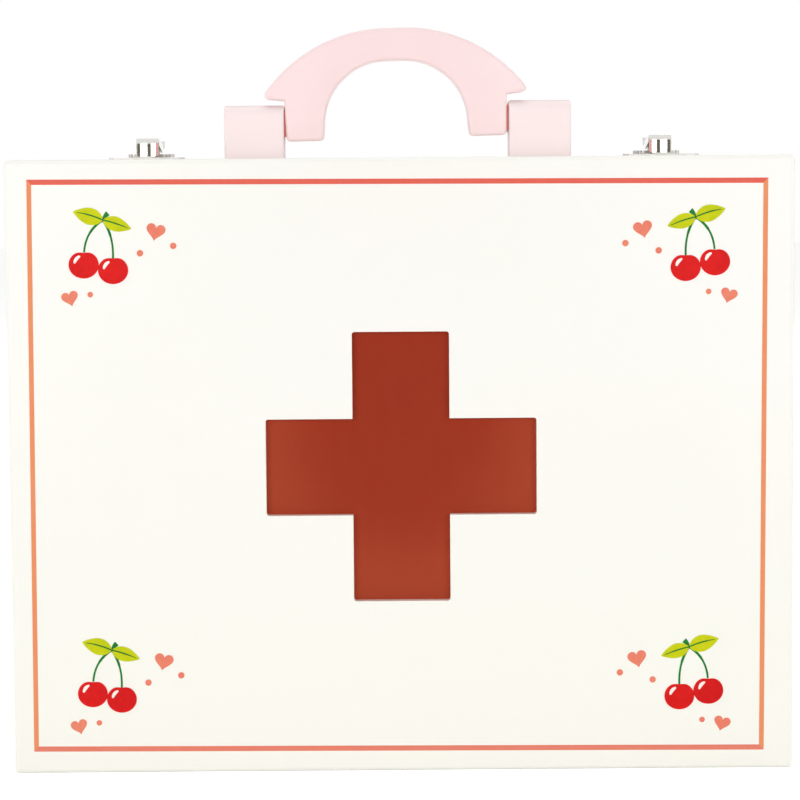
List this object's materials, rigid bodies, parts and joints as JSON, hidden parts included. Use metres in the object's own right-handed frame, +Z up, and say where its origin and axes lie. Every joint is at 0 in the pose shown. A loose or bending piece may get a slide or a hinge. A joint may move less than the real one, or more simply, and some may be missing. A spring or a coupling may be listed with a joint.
{
  "type": "toy doctor case",
  "caption": "White wooden toy doctor case with a cross-shaped window, pink arched handle between blocks, toggle latches and a lid hinged at the bottom.",
  "frame": {"origin": "middle of the case's footprint, at the level of its bottom face", "axes": "+Z up; +X to the right as the front with its window is seen; -Y out of the front panel; +Y out of the back"},
  "size_m": [0.28, 0.09, 0.2673],
  "materials": {
    "white_paint": "satin paint on wood",
    "window_red": "satin, fine woven texture",
    "pink_paint": "satin paint on wood",
    "pale_pink_paint": "satin paint on wood",
    "nickel": "bright nickel plate",
    "steel": "zinc-plated steel",
    "brass": "brass plate"
  },
  "bodies": {
    "base": {"back_panel": "white_paint", "base_top_rail": "white_paint", "base_bottom_rail": "white_paint", "base_side_left": "white_paint", "base_side_right": "white_paint", "hinge_base_leaf_left": "brass", "hinge_base_leaf_right": "brass", "hinge_base_screws": "brass", "hinge_pin_left": "steel", "hinge_pin_right": "steel", "handle_block_left": "pale_pink_paint", "handle_block_right": "pale_pink_paint", "block_screws": "steel", "handle_pin_left": "steel", "handle_pin_right": "steel", "latch_base_left": "nickel", "latch_base_right": "nickel", "latch_screws": "nickel", "latch_pin_left": "steel", "latch_pin_right": "steel"},
    "lid": {"front_panel": "white_paint", "window_pane": "window_red", "lid_top_rail": "white_paint", "lid_bottom_rail": "white_paint", "lid_side_left": "white_paint", "lid_side_right": "white_paint", "strike_plate_left": "nickel", "strike_plate_right": "nickel", "strike_screws": "nickel", "hinge_lid_leaf_left": "brass", "hinge_lid_leaf_right": "brass", "hinge_lid_screws": "brass"},
    "handle": {"handle": "pink_paint"},
    "lever_left": {"latch_lever_left": "nickel"},
    "lever_right": {"latch_lever_right": "nickel"},
    "hook_left": {"latch_hook_left": "nickel"},
    "hook_right": {"latch_hook_right": "nickel"}
  },
  "joints": [
    {"name": "lid_hinge", "type": "hinge", "parent": "base", "child": "lid", "pos_m": [0, -0.01475, 0.002], "axis": [1, 0, 0], "range_deg": [0, 112]},
    {"name": "handle_pivot", "type": "hinge", "parent": "base", "child": "handle", "pos_m": [0, 0, 0.231], "axis": [1, 0, 0], "range_deg": [-96, 96]},
    {"name": "lever_left_pivot", "type": "hinge", "parent": "base", "child": "lever_left", "pos_m": [-0.091, -0.00575, 0.2244], "axis": [1, 0, 0], "range_deg": [0, 110]},
    {"name": "lever_right_pivot", "type": "hinge", "parent": "base", "child": "lever_right", "pos_m": [0.0946, -0.00575, 0.2244], "axis": [1, 0, 0], "range_deg": [0, 110]},
    {"name": "hook_left_pivot", "type": "hinge", "parent": "lever_left", "child": "hook_left", "pos_m": [-0.091, -0.00227, 0.224], "axis": [1, 0, 0], "range_deg": [-110, 0]},
    {"name": "hook_right_pivot", "type": "hinge", "parent": "lever_right", "child": "hook_right", "pos_m": [0.0946, -0.00227, 0.224], "axis": [1, 0, 0], "range_deg": [-110, 0]}
  ],
  "couplings": [
    {"joint": "hook_left_pivot", "follows": "lever_left_pivot", "ratio": -1},
    {"joint": "hook_right_pivot", "follows": "lever_right_pivot", "ratio": -1}
  ]
}
